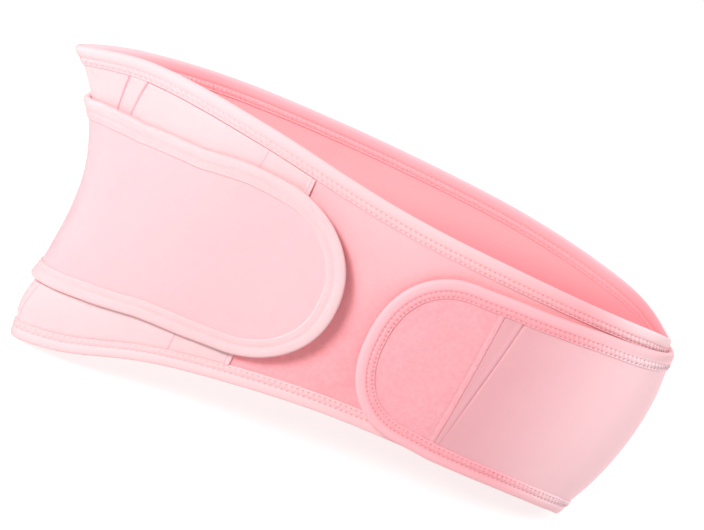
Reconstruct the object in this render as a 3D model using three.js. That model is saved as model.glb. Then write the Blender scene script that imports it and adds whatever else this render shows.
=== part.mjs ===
// Maternity support belt, closed in a loop and standing on its lower edge.
// Millimetres, +Z up. The front faces -Y, the long way of the loop runs along X.
import * as THREE from 'three';

// The whole loop, measured over the folds of its upper edge, front to back, and up to its highest edge.
const beltLength = 430;
const beltDepth = 116;
const beltHeight = 220;

// The whole loop leans back this far on its lower edge, so that it stands by itself.
const leanBack = THREE.MathUtils.degToRad(6);

// The two corners where the upper edge runs out into a pinched ear over the left fold.
const earReach = 30;
const earCurve = 6;
const earSpread = 0.9;

// How far the wall by the left fold is drawn in, at even steps from its lower to its upper edge, as shares
// of beltLength. Below zero it stands out there.
const waist = [-0.0035, -0.0098, 0.0042, 0.0144, 0.0205, 0.0212, 0.0150, 0.0052, 0];

// Cloth thicknesses and the width of the folded binding tape.
const bandThickness = 2.0;
const panelThickness = 1.2;
const wingThickness = 1.6;
const patchThickness = 0.8;
const bindingWidth = 12;
const bindingThickness = 0.9;

// Clearances: between layers that touch in life, and what a wing stands off over the front. Past the
// side panel the left wing settles to the smaller one.
const layerGap = 0.3;
const panelGap = 0.5;
const edgeGap = 0.6;
const wingStandOff = 1.7;
const wingSettled = 0.4;
const tipLift = 9;

// How far the loop's lower edge is carried above the floor by the tape folded round it.
const footSeat = layerGap + bindingThickness - 0.2;

// Places round the loop are counted in stations: 0 at the right fold, 3 at the front middle,
// 6 at the left fold and 9 at the back middle.
// x is a share of beltLength, y of beltDepth, the rest of beltHeight. Bulge is the wall's outward
// swell at half height.
const stations = [
  { footX: 0.495, footY: 0.000, foot: 0.000, topX: 0.535, topY: 0.000, top: 0.691, bulge: 0.064 },
  { footX: 0.442, footY: -0.293, foot: 0.080, topX: 0.472, topY: -0.310, top: 0.750, bulge: 0.027 },
  { footX: 0.256, footY: -0.466, foot: 0.148, topX: 0.267, topY: -0.474, top: 0.814, bulge: 0.009 },
  { footX: 0.000, footY: -0.500, foot: 0.195, topX: 0.000, topY: -0.500, top: 0.886, bulge: 0.000 },
  { footX: -0.228, footY: -0.379, foot: 0.150, topX: -0.242, topY: -0.405, top: 0.977, bulge: 0.000 },
  { footX: -0.372, footY: -0.216, foot: 0.045, topX: -0.400, topY: -0.190, top: 0.995, bulge: 0.000 },
  { footX: -0.435, footY: -0.034, foot: 0.000, topX: -0.460, topY: -0.034, top: 0.941, bulge: 0.000 },
  { footX: -0.372, footY: 0.138, foot: 0.000, topX: -0.400, topY: 0.103, top: 0.964, bulge: 0.000 },
  { footX: -0.228, footY: 0.362, foot: 0.000, topX: -0.242, topY: 0.362, top: 0.927, bulge: 0.000 },
  { footX: 0.000, footY: 0.500, foot: 0.000, topX: 0.000, topY: 0.500, top: 0.873, bulge: 0.000 },
  { footX: 0.256, footY: 0.466, foot: 0.000, topX: 0.267, topY: 0.474, top: 0.814, bulge: 0.000 },
  { footX: 0.442, footY: 0.284, foot: 0.000, topX: 0.472, topY: 0.293, top: 0.741, bulge: 0.027 },
];

// The pale panel laid on the left side: from its raised free edge on the front to its slanting seam by
// the fold, given at its lower and at its upper end.
const panelFrom = 3.59;
const panelSeamLow = 5.98;
const panelSeamHigh = 5.08;

// How many stations past that seam the left wing begins to settle, and over how many it does.
const settleFrom = 0.10;
const settleOver = 0.36;

// A row for each place along a wing, from its rounded tip to its sewn end at the back. Low and high are
// shares of the wall's height there. Lift, for the right wing, is a share of wingStandOff.
const leftWing = {
  tipAt: 3.17,
  tipFrom: 3.70,
  rows: [
    { place: 3.10, low: 0.138, high: 0.862 },
    { place: 3.70, low: 0.141, high: 0.865 },
    { place: 4.00, low: 0.150, high: 0.856 },
    { place: 4.40, low: 0.180, high: 0.822 },
    { place: 5.00, low: 0.203, high: 0.818 },
    { place: 5.60, low: 0.216, high: 0.850 },
    { place: 6.00, low: 0.220, high: 0.862 },
    { place: 7.00, low: 0.212, high: 0.852 },
    { place: 8.00, low: 0.190, high: 0.830 },
    { place: 8.88, low: 0.165, high: 0.835 },
  ],
};
const rightWing = {
  tipAt: 2.885,
  tipFrom: 2.40,
  rows: [
    { place: 2.95, low: 0.030, high: 0.860, lift: 1 },
    { place: 2.40, low: 0.018, high: 0.868, lift: 1 },
    { place: 2.20, low: 0.004, high: 0.880, lift: 1 },
    { place: 1.90, low: 0.000, high: 0.892, lift: 1 },
    { place: 1.50, low: 0.000, high: 0.912, lift: 1 },
    { place: 1.00, low: 0.000, high: 0.924, lift: 1 },
    { place: 0.50, low: 0.006, high: 0.940, lift: 1 },
    { place: 0.00, low: 0.020, high: 0.940, lift: 1 },
    { place: -1.00, low: 0.060, high: 0.880, lift: 1 },
    { place: -2.00, low: 0.130, high: 0.840, lift: 0 },
    { place: -2.88, low: 0.165, high: 0.835, lift: 0 },
  ],
};

// Where the brushed tip of the right wing is joined to its elastic part.
const wingJoin = 2.215;

// The hook patches under the two tips: from, to, and how far they keep from the wing's edge.
const leftPatch = { from: 3.36, to: 3.96 };
const rightPatch = { from: 2.28, to: 2.70 };
const patchInset = bindingWidth + 3;

// The rounding of a wing's tip: squarer than a circle above 2.
const tipSquareness = 2.2;
const tipAngles = [0, 16, 31, 45, 57, 68, 77, 84];

const wallRows = 9;
const wingRows = 3;
const patchRows = 4;
const stationCount = stations.length;

// A closed curve through one point of each station.
function ring(pick) {
  return new THREE.CatmullRomCurve3(stations.map(pick), true, 'catmullrom', 0.5);
}

// A point of a station, leaned back about the line through the two folds' feet.
function leaned(x, y, z) {
  const point = new THREE.Vector3(x * beltLength, y * beltDepth, z * beltHeight);
  return point.applyAxisAngle(new THREE.Vector3(1, 0, 0), -leanBack);
}

const footRing = ring((s) => leaned(s.footX, s.footY, s.foot));
const topRing = ring((s) => leaned(s.topX, s.topY, s.top));

// The wall's swell, kept in the curve's x.
const swellRing = ring((s) => new THREE.Vector3(s.bulge * beltHeight, 0, 0));

function along(curve, place) {
  const turns = place / stationCount;
  return curve.getPoint(turns - Math.floor(turns));
}

// Distance in stations from the left fold, the shorter way round.
function fromLeftFold(place) {
  const half = stationCount / 2;
  const turned = ((place % stationCount) + stationCount) % stationCount;
  return Math.abs(turned - half);
}

// A smooth reading of a table of even steps from 0 to 1.
function alongTable(values, share) {
  const last = values.length - 1;
  const at = THREE.MathUtils.clamp(share, 0, 1) * last;
  const first = Math.min(Math.floor(at), last - 1);
  const t = at - first;
  const [a, b, c, d] = [-1, 0, 1, 2].map((i) => values[THREE.MathUtils.clamp(first + i, 0, last)]);
  const bend = (2 * a - 5 * b + 4 * c - d) * t ** 2 + (3 * b - a - 3 * c + d) * t ** 3;
  return b + ((c - a) * t + bend) / 2;
}

// A point on the middle of the band's cloth: share 0 is its lower edge, 1 its upper edge.
function wallPoint(place, share) {
  const foot = along(footRing, place);
  const top = along(topRing, place);
  foot.z = Math.max(foot.z, 0) + footSeat;
  const ahead = along(footRing, place + 0.02).sub(along(footRing, place - 0.02));
  const outward = new THREE.Vector3(ahead.y, -ahead.x, 0).normalize().negate();
  const swell = along(swellRing, place).x * 4 * share * (1 - share);
  const nearFold = Math.exp(-((fromLeftFold(place) / earSpread) ** 2));
  const point = foot.lerp(top, share).addScaledVector(outward, swell);
  point.x += (alongTable(waist, share) * beltLength - earReach * Math.max(share, 0) ** earCurve) * nearFold;
  return point;
}

function wallHeight(place) {
  return wallPoint(place, 0).distanceTo(wallPoint(place, 1));
}

// Which way a surface faces outward. A surface gives a point for each place and share.
function normalOn(surface, place, share) {
  const step = 0.004;
  const round = surface(place + step, share).sub(surface(place - step, share));
  const up = surface(place, share + step).sub(surface(place, share - step));
  return round.cross(up).negate().normalize();
}

// A surface that rides outward of the wall's middle, by a distance read for each place and share.
function riding(rideAt) {
  return (place, share) => {
    const normal = normalOn(wallPoint, place, share);
    return wallPoint(place, share).addScaledVector(normal, rideAt(place, share));
  };
}

// The places where a whole ring has a section: closer together round the two folds.
function ringPlaces() {
  const places = [];
  for (let place = 0; place < stationCount; place += 0.125) {
    const nearFold = Math.min(fromLeftFold(place), stationCount / 2 - fromLeftFold(place)) < 1.01;
    if (nearFold || Number.isInteger(place * 4)) places.push(place);
  }
  return places;
}

function placesBetween(from, to) {
  const low = Math.min(from, to);
  const high = Math.max(from, to);
  const inside = [];
  for (let place = Math.ceil(low * 8) / 8; place < high; place += 0.125) {
    const nearFold = Math.min(fromLeftFold(place), Math.abs(stationCount / 2 - fromLeftFold(place))) < 1.01;
    const clear = place - low > 0.06 && high - place > 0.06;
    if (clear && (nearFold || Number.isInteger(place * 4))) inside.push(place);
  }
  const places = [low, ...inside, high];
  return from < to ? places : places.reverse();
}

// A solid through sections, each the same list of points. With no cover it closes on itself, otherwise
// the two end sections are covered by those triangles.
function solidThrough(sections, cover) {
  const count = sections[0].length;
  const positions = [];
  const triangles = [];
  for (const section of sections) {
    for (const point of section) positions.push(point.x, point.y, Math.max(point.z, 0));
  }
  const spans = cover ? sections.length - 1 : sections.length;
  for (let i = 0; i < spans; i += 1) {
    const here = i * count;
    const next = ((i + 1) % sections.length) * count;
    for (let j = 0; j < count; j += 1) {
      const k = (j + 1) % count;
      triangles.push(here + j, here + k, next + k, here + j, next + k, next + j);
    }
  }
  if (cover) {
    const last = (sections.length - 1) * count;
    for (const [a, b, c] of cover) {
      triangles.push(c, b, a, last + a, last + b, last + c);
    }
  }
  return facedOut(positions, triangles);
}

// Turns all triangles over when the body comes out inside out.
function facedOut(positions, triangles) {
  const a = new THREE.Vector3();
  const b = new THREE.Vector3();
  const c = new THREE.Vector3();
  let volume = 0;
  for (let i = 0; i < triangles.length; i += 3) {
    a.fromArray(positions, triangles[i] * 3);
    b.fromArray(positions, triangles[i + 1] * 3);
    c.fromArray(positions, triangles[i + 2] * 3);
    volume += a.dot(b.cross(c));
  }
  const index = [...triangles];
  if (volume < 0) {
    for (let i = 0; i < index.length; i += 3) {
      [index[i + 1], index[i + 2]] = [index[i + 2], index[i + 1]];
    }
  }
  const geometry = new THREE.BufferGeometry();
  geometry.setAttribute('position', new THREE.Float32BufferAttribute(positions, 3));
  geometry.setIndex(index);
  return geometry;
}

// A binding's width as a share of the wall there, less on the narrow end of a tip.
function hemShare(place, low, high) {
  return Math.min(bindingWidth / wallHeight(place), (high - low) * 0.3);
}

// Shares of the wall from a sheet's low edge to its high edge. The first and the last span are a binding
// wide, so that the tape folded over the edge lies flat on them.
function boundRows(place, low, high, rows) {
  const hem = hemShare(place, low, high);
  return [low, ...evenRows(low + hem, high - hem, rows), high];
}

function evenRows(low, high, rows) {
  const shares = [];
  for (let i = 0; i <= rows; i += 1) shares.push(low + (high - low) * (i / rows));
  return shares;
}

// One section of a sheet: up its outer face and down its inner face.
function layered(middles, thickness) {
  const outer = middles.map((m) => m.point.clone().addScaledVector(m.normal, thickness / 2));
  const inner = middles.map((m) => m.point.clone().addScaledVector(m.normal, -thickness / 2));
  return [...outer, ...inner.reverse()];
}

function sheetSection(surface, place, shares, thickness) {
  const middles = shares.map((share) => ({
    point: surface(place, share),
    normal: normalOn(surface, place, share),
  }));
  return layered(middles, thickness);
}

// The triangles that cover the end of a sheet with this many spans from edge to edge.
function sheetCover(spans) {
  const cover = [];
  const last = 2 * spans + 1;
  for (let i = 0; i < spans; i += 1) cover.push([i, i + 1, last - i], [i + 1, last - i - 1, last - i]);
  return cover;
}

// The section of a tape folded round an edge: x runs in from the edge, y outward from the cloth's middle.
function tapeProfile(clothThickness) {
  const inside = clothThickness / 2 + layerGap;
  const outside = inside + bindingThickness;
  return [
    new THREE.Vector2(bindingWidth, outside),
    new THREE.Vector2(0, outside),
    new THREE.Vector2(-layerGap - bindingThickness, outside * 0.5),
    new THREE.Vector2(-layerGap - bindingThickness, -outside * 0.5),
    new THREE.Vector2(0, -outside),
    new THREE.Vector2(bindingWidth, -outside),
    new THREE.Vector2(bindingWidth, -inside),
    new THREE.Vector2(-layerGap, -inside),
    new THREE.Vector2(-layerGap, inside),
    new THREE.Vector2(bindingWidth, inside),
  ];
}

// The frame of a tape's section on a straight edge: inward runs along the cloth's first span.
function edgeFrame(surface, place, edge, hem) {
  const point = surface(place, edge);
  const inward = surface(place, edge + hem).sub(point).normalize();
  return { point, inward, normal: normalOn(surface, place, edge + hem / 2) };
}

function tapeSection(frame, profile) {
  return profile.map((p) =>
    frame.point.clone().addScaledVector(frame.inward, p.x).addScaledVector(frame.normal, p.y));
}

// The tape round one edge of the whole loop.
function loopTape(edge) {
  const profile = tapeProfile(bandThickness);
  const sections = ringPlaces().map((place) => {
    const hem = hemShare(place, 0, 1) * (edge ? -1 : 1);
    return tapeSection(edgeFrame(wallPoint, place, edge, hem), profile);
  });
  return solidThrough(sections, null);
}

function mainBand() {
  const sections = ringPlaces().map((place) =>
    sheetSection(wallPoint, place, boundRows(place, 0, 1, wallRows), bandThickness));
  return solidThrough(sections, null);
}

// The panel's slanting seam by the fold.
function seamAt(share) {
  return THREE.MathUtils.lerp(panelSeamLow, panelSeamHigh, share);
}

function sidePanel() {
  const surface = riding(() => bandThickness / 2 + panelGap + panelThickness / 2);
  const sections = placesBetween(panelFrom, panelSeamLow).map((column) => {
    const across = (column - panelFrom) / (panelSeamLow - panelFrom);
    const placeAt = (share) => THREE.MathUtils.lerp(panelFrom, seamAt(share), across);
    const low = (bindingWidth + edgeGap) / wallHeight(placeAt(0));
    const high = 1 - (bindingWidth + edgeGap) / wallHeight(placeAt(1));
    const points = evenRows(low, high, wallRows).map((share) => {
      const place = placeAt(share);
      return { point: surface(place, share), normal: normalOn(surface, place, share) };
    });
    return layered(points, panelThickness);
  });
  return solidThrough(sections, sheetCover(wallRows));
}

// A wing's table read at any place: the two rows beside it, and how far it is from one to the other.
function rowsBeside(wing, place) {
  const rows = wing.rows;
  const turn = Math.sign(rows[1].place - rows[0].place);
  let i = 0;
  while (i < rows.length - 2 && (place - rows[i + 1].place) * turn > 0) i += 1;
  const a = rows[i];
  const b = rows[i + 1];
  return { a, b, t: THREE.MathUtils.clamp((place - a.place) / (b.place - a.place), 0, 1) };
}

function readRow(wing, place) {
  const { a, b, t } = rowsBeside(wing, place);
  return { low: THREE.MathUtils.lerp(a.low, b.low, t), high: THREE.MathUtils.lerp(a.high, b.high, t) };
}

// How far a wing stands off: the left one over the side panel, the right one over the loop's bindings.
function standOff(wing, place, share) {
  if (wing === leftWing) {
    const settled = (place - seamAt(share) - settleFrom) / settleOver;
    return THREE.MathUtils.lerp(wingStandOff, wingSettled, THREE.MathUtils.smoothstep(settled, 0, 1));
  }
  const { a, b, t } = rowsBeside(wing, place);
  return wingStandOff * THREE.MathUtils.lerp(a.lift, b.lift, THREE.MathUtils.smoothstep(t, 0, 1));
}

// The left wing's free tip curls away from the front. Zero behind the start of the tip.
function tipCurl(wing, place) {
  if (wing !== leftWing) return 0;
  const begin = wing.tipFrom + 0.25;
  const t = THREE.MathUtils.clamp((begin - place) / (begin - wing.tipAt), 0, 1);
  return tipLift * t * t;
}

// How far a wing's middle rides out of the wall's middle.
function wingRide(wing, place, share) {
  const close = bandThickness / 2 + layerGap + bindingThickness + layerGap + wingThickness / 2;
  return close + standOff(wing, place, share) + tipCurl(wing, place);
}

// A wing's columns from its tip to its sewn end: place, low, high and whether it lies on the rounding.
function wingColumns(wing) {
  const reach = wing.tipAt - wing.tipFrom;
  const power = 2 / tipSquareness;
  const end = wing.rows[wing.rows.length - 1].place;
  const column = (place, fullness) => {
    const row = readRow(wing, place);
    const middle = (row.low + row.high) / 2;
    const half = (row.high - row.low) / 2 * fullness;
    return { place, low: middle - half, high: middle + half, round: fullness < 1 };
  };
  const tip = tipAngles.map((degrees) => {
    const angle = THREE.MathUtils.degToRad(degrees);
    return column(wing.tipFrom + reach * Math.sin(angle) ** power, Math.cos(angle) ** power);
  });
  const body = placesBetween(wing.tipFrom, end).slice(1).map((place) => column(place, 1));
  return [...tip.reverse(), ...body];
}

function wingSheet(wing, columns) {
  const surface = riding((place, share) => wingRide(wing, place, share));
  const sections = columns.map((c) =>
    sheetSection(surface, c.place, boundRows(c.place, c.low, c.high, wingRows), wingThickness));
  return solidThrough(sections, sheetCover(wingRows + 2));
}

// The frame of a tape's section on the rounding of a tip: inward is square to the edge in the cloth.
function roundFrame(surface, before, here, after) {
  const nudge = 0.01;
  const ahead = surface(here.place + nudge, here.share);
  const placeLength = ahead.distanceTo(surface(here.place - nudge, here.share)) / (2 * nudge);
  const shareLength = wallHeight(here.place);
  const across = (after.place - before.place) * placeLength;
  const upward = (after.share - before.share) * shareLength;
  const turn = Math.sign(across) * here.side;
  const scale = bindingWidth / Math.hypot(across, upward) * turn;
  const inPlace = here.place + upward * scale / placeLength;
  const inShare = here.share - across * scale / shareLength;
  const point = surface(here.place, here.share);
  const inward = surface(inPlace, inShare).sub(point).normalize();
  return { point, inward, normal: normalOn(surface, (here.place + inPlace) / 2, (here.share + inShare) / 2) };
}

// The tape round a wing: along its upper edge to the tip, round it, and back along the lower edge.
function wingTape(wing, columns) {
  const surface = riding((place, share) => wingRide(wing, place, share));
  const profile = tapeProfile(wingThickness);
  const upper = columns.map((c) => ({ ...c, share: c.high, side: 1 })).reverse();
  const lower = columns.map((c) => ({ ...c, share: c.low, side: -1 }));
  const edge = [...upper, ...lower];
  const sections = edge.map((here, i) => {
    const hem = -here.side * hemShare(here.place, here.low, here.high);
    const frame = here.round
      ? roundFrame(surface, edge[i - 1], here, edge[i + 1])
      : edgeFrame(surface, here.place, here.share, hem);
    return tapeSection(frame, profile);
  });
  return solidThrough(sections, THREE.ShapeUtils.triangulateShape(profile, []));
}

// The hook patch on the inner face of a tip. Its own rounding keeps inside the binding's.
function hookPatch(wing, patch) {
  const drop = wingThickness / 2 + layerGap + patchThickness / 2;
  const surface = riding((place, share) => wingRide(wing, place, share) - drop);
  const turn = Math.sign(wing.tipFrom - wing.tipAt);
  const tipAt = wing.tipAt + turn * patchInset / (beltLength / 4);
  const sections = evenRows(patch.from, patch.to, 6).map((place) => {
    const row = readRow(wing, place);
    const left = THREE.MathUtils.clamp((wing.tipFrom - place) / (wing.tipFrom - tipAt), 0, 1);
    const fullness = (1 - left ** tipSquareness) ** (1 / tipSquareness);
    const middle = (row.low + row.high) / 2;
    const half = ((row.high - row.low) / 2 - patchInset / wallHeight(place)) * fullness;
    return sheetSection(surface, place, evenRows(middle - half, middle + half, patchRows), patchThickness);
  });
  return solidThrough(sections, sheetCover(patchRows));
}

// The columns on one side of a place, ending exactly there.
function cutColumns(columns, wing, place, keepTip) {
  const turn = Math.sign(wing.rows[1].place - wing.rows[0].place);
  const beyond = (c) => (c.place - place) * turn;
  const kept = columns.filter((c) => (keepTip ? beyond(c) < -0.03 : beyond(c) > 0.03));
  const row = readRow(wing, place);
  const cut = { place, low: row.low, high: row.high, round: false };
  return keepTip ? [...kept, cut] : [cut, ...kept];
}

function piece(name, geometry, colour, roughness) {
  geometry.computeVertexNormals();
  const material = new THREE.MeshStandardMaterial({ color: colour, roughness, metalness: 0 });
  material.name = name;
  const mesh = new THREE.Mesh(geometry, material);
  mesh.name = name;
  return mesh;
}

// Half the slit between the right wing's two parts, in stations.
const joinGap = edgeGap / 2 / (beltLength / 4);

const leftColumns = wingColumns(leftWing);
const rightColumns = wingColumns(rightWing);
const tipColumns = cutColumns(rightColumns, rightWing, wingJoin + joinGap, true);
const elasticColumns = cutColumns(rightColumns, rightWing, wingJoin - joinGap, false);

const belt = new THREE.Group();
belt.name = 'maternity_support_belt';
belt.add(piece('main_band', mainBand(), '#f6bcc2', 0.95));
belt.add(piece('left_side_panel', sidePanel(), '#fae6e8', 0.9));
belt.add(piece('top_binding', loopTape(1), '#fbd3d9', 0.85));
belt.add(piece('bottom_binding', loopTape(0), '#f7c3ca', 0.85));
belt.add(piece('left_wing', wingSheet(leftWing, leftColumns), '#f7d5da', 0.9));
belt.add(piece('left_wing_binding', wingTape(leftWing, leftColumns), '#fadfe3', 0.85));
belt.add(piece('left_hook_patch', hookPatch(leftWing, leftPatch), '#f1c3c9', 0.8));
belt.add(piece('right_wing_tip', wingSheet(rightWing, tipColumns), '#f5b6bc', 0.95));
belt.add(piece('right_wing', wingSheet(rightWing, elasticColumns), '#f7c6cb', 0.85));
belt.add(piece('right_wing_binding', wingTape(rightWing, rightColumns), '#f9c4c9', 0.85));
belt.add(piece('right_hook_patch', hookPatch(rightWing, rightPatch), '#f0b4ba', 0.8));

// The middle of the footprint is set on the origin.
const box = new THREE.Box3().setFromObject(belt);
const centre = box.getCenter(new THREE.Vector3());
for (const mesh of belt.children) mesh.geometry.translate(-centre.x, -centre.y, 0);

export default belt;
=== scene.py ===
import math
import bmesh
import bpy
from mathutils import Matrix, Vector, kdtree, noise


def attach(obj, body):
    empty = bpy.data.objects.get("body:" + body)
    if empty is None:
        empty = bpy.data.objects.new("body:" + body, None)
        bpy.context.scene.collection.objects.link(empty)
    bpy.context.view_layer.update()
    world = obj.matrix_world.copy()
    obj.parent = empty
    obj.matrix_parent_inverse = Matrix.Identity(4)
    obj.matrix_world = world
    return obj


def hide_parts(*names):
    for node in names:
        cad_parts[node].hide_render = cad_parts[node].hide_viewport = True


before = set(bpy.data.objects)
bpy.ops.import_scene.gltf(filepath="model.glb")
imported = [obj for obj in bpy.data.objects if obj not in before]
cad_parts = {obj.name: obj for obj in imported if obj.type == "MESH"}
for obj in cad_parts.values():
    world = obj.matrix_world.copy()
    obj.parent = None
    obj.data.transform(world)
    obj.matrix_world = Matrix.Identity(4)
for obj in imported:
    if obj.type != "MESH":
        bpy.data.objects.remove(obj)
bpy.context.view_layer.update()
print("frame loaded")

mm = 0.001

# the loop's form, the same values as the solids: metres, shares, and stations round the loop
form = {
    "length": 0.430,
    "depth": 0.116,
    "height": 0.220,
    "leanBack": math.radians(6),
    "earReach": 0.030,
    "earCurve": 6,
    "earSpread": 0.9,
    "footSeat": 1.0 * mm,
    "centre": Vector((6.5124 * mm, 9.8510 * mm, 0)),
    "waviness": 0.55 * mm,  # slow unevenness of the cloth
    "waveSize": 0.070,
    "quickWave": 0.32,  # the smaller waves on it, as a share of the slow ones
}

# a row for each station: foot x, y, z, top x, y, z and the wall's swell
stations = [
    (0.495, 0.000, 0.000, 0.535, 0.000, 0.691, 0.064),
    (0.442, -0.293, 0.080, 0.472, -0.310, 0.750, 0.027),
    (0.256, -0.466, 0.148, 0.267, -0.474, 0.814, 0.009),
    (0.000, -0.500, 0.195, 0.000, -0.500, 0.886, 0.000),
    (-0.228, -0.379, 0.150, -0.242, -0.405, 0.977, 0.000),
    (-0.372, -0.216, 0.045, -0.400, -0.190, 0.995, 0.000),
    (-0.435, -0.034, 0.000, -0.460, -0.034, 0.941, 0.000),
    (-0.372, 0.138, 0.000, -0.400, 0.103, 0.964, 0.000),
    (-0.228, 0.362, 0.000, -0.242, 0.362, 0.927, 0.000),
    (0.000, 0.500, 0.000, 0.000, 0.500, 0.873, 0.000),
    (0.256, 0.466, 0.000, 0.267, 0.474, 0.814, 0.000),
    (0.442, 0.284, 0.000, 0.472, 0.293, 0.741, 0.027),
]
around = len(stations)

# how far the wall by the left fold is drawn in, at even steps from foot to top, in shares of the length
waist = [-0.0035, -0.0098, 0.0042, 0.0144, 0.0205, 0.0212, 0.0150, 0.0052, 0.0]

cloth = {"band": 2.0 * mm, "panel": 1.2 * mm, "wing": 1.6 * mm, "patch": 0.8 * mm}
tape = {"width": 12 * mm, "thickness": 0.9 * mm, "gap": 0.3 * mm}
closeRide = cloth["band"] / 2 + tape["gap"] + tape["thickness"] + tape["gap"] + cloth["wing"] / 2

# place, low, high and lift for each row along a wing
leftWing = {
    "tipAt": 3.17, "tipFrom": 3.70, "standOff": 1.7 * mm, "tipLift": 9 * mm, "end": 8.88,
    "patch": (3.36, 3.96), "liftEarly": 0.25, "settled": 0.4 * mm, "settleFrom": 0.10, "settleOver": 0.36,
    "rows": [
        (3.10, 0.138, 0.862, 1), (3.70, 0.141, 0.865, 1), (4.00, 0.150, 0.856, 1), (4.40, 0.180, 0.822, 1),
        (5.00, 0.203, 0.818, 1), (5.60, 0.216, 0.850, 1), (6.00, 0.220, 0.862, 1), (7.00, 0.212, 0.852, 1),
        (8.00, 0.190, 0.830, 1), (8.88, 0.165, 0.835, 1),
    ],
}
rightWing = {
    "tipAt": 2.885, "tipFrom": 2.40, "standOff": 1.7 * mm, "tipLift": 0, "end": -2.88, "join": 2.215,
    "patch": (2.28, 2.70),
    "rows": [
        (2.95, 0.030, 0.860, 1), (2.40, 0.018, 0.868, 1), (2.20, 0.004, 0.880, 1), (1.90, 0.000, 0.892, 1),
        (1.50, 0.000, 0.912, 1), (1.00, 0.000, 0.924, 1), (0.50, 0.006, 0.940, 1), (0.00, 0.020, 0.940, 1),
        (-1.00, 0.060, 0.880, 1), (-2.00, 0.130, 0.840, 0), (-2.88, 0.165, 0.835, 0),
    ],
}
tipSquareness = 2.2
perStation = 0.105  # metres along the wall from one station to the next, for the wings' flat run
foldAt = {"low": 2.195, "high": 2.075, "height": 0.80, "middle": 2.13}  # the right wing's second sewn line

# the pale side panel, its hem and the two slanting seam lines beside it
panel = {
    "from": 3.59, "seamLow": 5.85, "seamHigh": 5.09, "bend": 1.2, "bendFrom": 0.8,
    "gap": 0.5 * mm, "edgeGap": 0.10 * mm,
    "hemLow": 4.035, "hemHigh": 3.950, "seamStrip": 0.19, "flatRun": 0.200,
}


def eased(t):
    t = min(max(t, 0.0), 1.0)
    return t * t * (3 - 2 * t)


def mixed(a, b, t):
    return a + (b - a) * t


def bell(distance, width):
    return math.exp(-(distance / width) ** 2)


lean = Matrix.Rotation(-form["leanBack"], 3, "X")
size = Vector((form["length"], form["depth"], form["height"]))
footRing = [lean @ (Vector(row[0:3]) * size) for row in stations]
topRing = [lean @ (Vector(row[3:6]) * size) for row in stations]
swellRing = [Vector((row[6] * form["height"], 0, 0)) for row in stations]


def throughFour(a, b, c, d, t):
    # a smooth way from b to c, led by a and d
    bend = (2 * a - 5 * b + 4 * c - d) * t * t + (3 * b - a - 3 * c + d) * t ** 3
    return b + 0.5 * ((c - a) * t + bend)


def alongRing(points, place):
    first = math.floor(place)
    return throughFour(*(points[(first + k) % around] for k in (-1, 0, 1, 2)), place - first)


def alongTable(values, share):
    last = len(values) - 1
    at = min(max(share, 0), 1) * last
    first = min(math.floor(at), last - 1)
    return throughFour(*(values[min(max(first + k, 0), last)] for k in (-1, 0, 1, 2)), at - first)


wallColumns = {}  # kept once worked out: foot, top, outward, swell and nearness to the left fold


def columnAt(place):
    key = round(place % around, 5)
    if key not in wallColumns:
        foot = alongRing(footRing, key)
        foot.z = max(foot.z, 0) + form["footSeat"]
        ahead = alongRing(footRing, key + 0.02) - alongRing(footRing, key - 0.02)
        outward = Vector((-ahead.y, ahead.x, 0)).normalized()
        swell = alongRing(swellRing, key).x * 4
        nearFold = bell(abs(key - around / 2), form["earSpread"])
        top = alongRing(topRing, key)
        wallColumns[key] = (foot - form["centre"], top - form["centre"], outward, swell, nearFold)
    return wallColumns[key]


def wallPoint(place, share):
    foot, top, outward, swell, nearFold = columnAt(place)
    point = foot.lerp(top, share) + outward * (swell * share * (1 - share))
    if nearFold > 1e-6:
        ear = form["earReach"] * max(share, 0) ** form["earCurve"]
        point.x += (alongTable(waist, share) * form["length"] - ear) * nearFold
    return point


def wallHeight(place):
    return (wallPoint(place, 1) - wallPoint(place, 0)).length


def rimLength(place, edge):
    # length along the wall for a whole share, measured close to its foot or its top
    near = 0.06
    return (wallPoint(place, edge) - wallPoint(place, abs(edge - near))).length / near


def wallNormal(place, share):
    step = 0.004
    run = wallPoint(place + step, share) - wallPoint(place - step, share)
    rise = wallPoint(place, share + step) - wallPoint(place, share - step)
    return -run.cross(rise).normalized()


def unevenness(point):
    slow = noise.noise(point / form["waveSize"])
    quick = noise.noise(point / (form["waveSize"] * form["quickWave"]) + Vector((7, 3, 1)))
    return form["waviness"] * (slow + 0.3 * quick)


def clothPoint(place, share, ride):
    base = wallPoint(place, share)
    return base + wallNormal(place, share) * (ride(place, share) + unevenness(base))


def clothNormal(place, share, ride):
    step = 0.01
    run = clothPoint(place + step, share, ride) - clothPoint(place - step, share, ride)
    rise = clothPoint(place, share + step, ride) - clothPoint(place, share - step, ride)
    return -run.cross(rise).normalized()


def onBand(place, share):
    return 0.0


def seamLine(share):
    bend = panel["bend"] * max(share - panel["bendFrom"], 0) ** 1.5
    return mixed(panel["seamLow"], panel["seamHigh"], share) - bend


def wingRow(wing, place):
    rows = wing["rows"]
    turn = 1 if rows[1][0] > rows[0][0] else -1
    i = 0
    while i < len(rows) - 2 and (place - rows[i + 1][0]) * turn > 0:
        i += 1
    a, b = rows[i], rows[i + 1]
    t = min(max((place - a[0]) / (b[0] - a[0]), 0), 1)
    return mixed(a[1], b[1], t), mixed(a[2], b[2], t), mixed(a[3], b[3], eased(t)) * wing["standOff"]


def wingRide(wing):
    def ride(place, share):
        off = wingRow(wing, place)[2]
        if wing is leftWing:
            settled = eased((place - seamLine(share) - wing["settleFrom"]) / wing["settleOver"])
            begin = wing["tipFrom"] + wing["liftEarly"]
            t = min(max((begin - place) / (begin - wing["tipAt"]), 0), 1)
            off = mixed(off, wing["settled"], settled) + wing["tipLift"] * t * t
        return closeRide + off
    return ride


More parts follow.
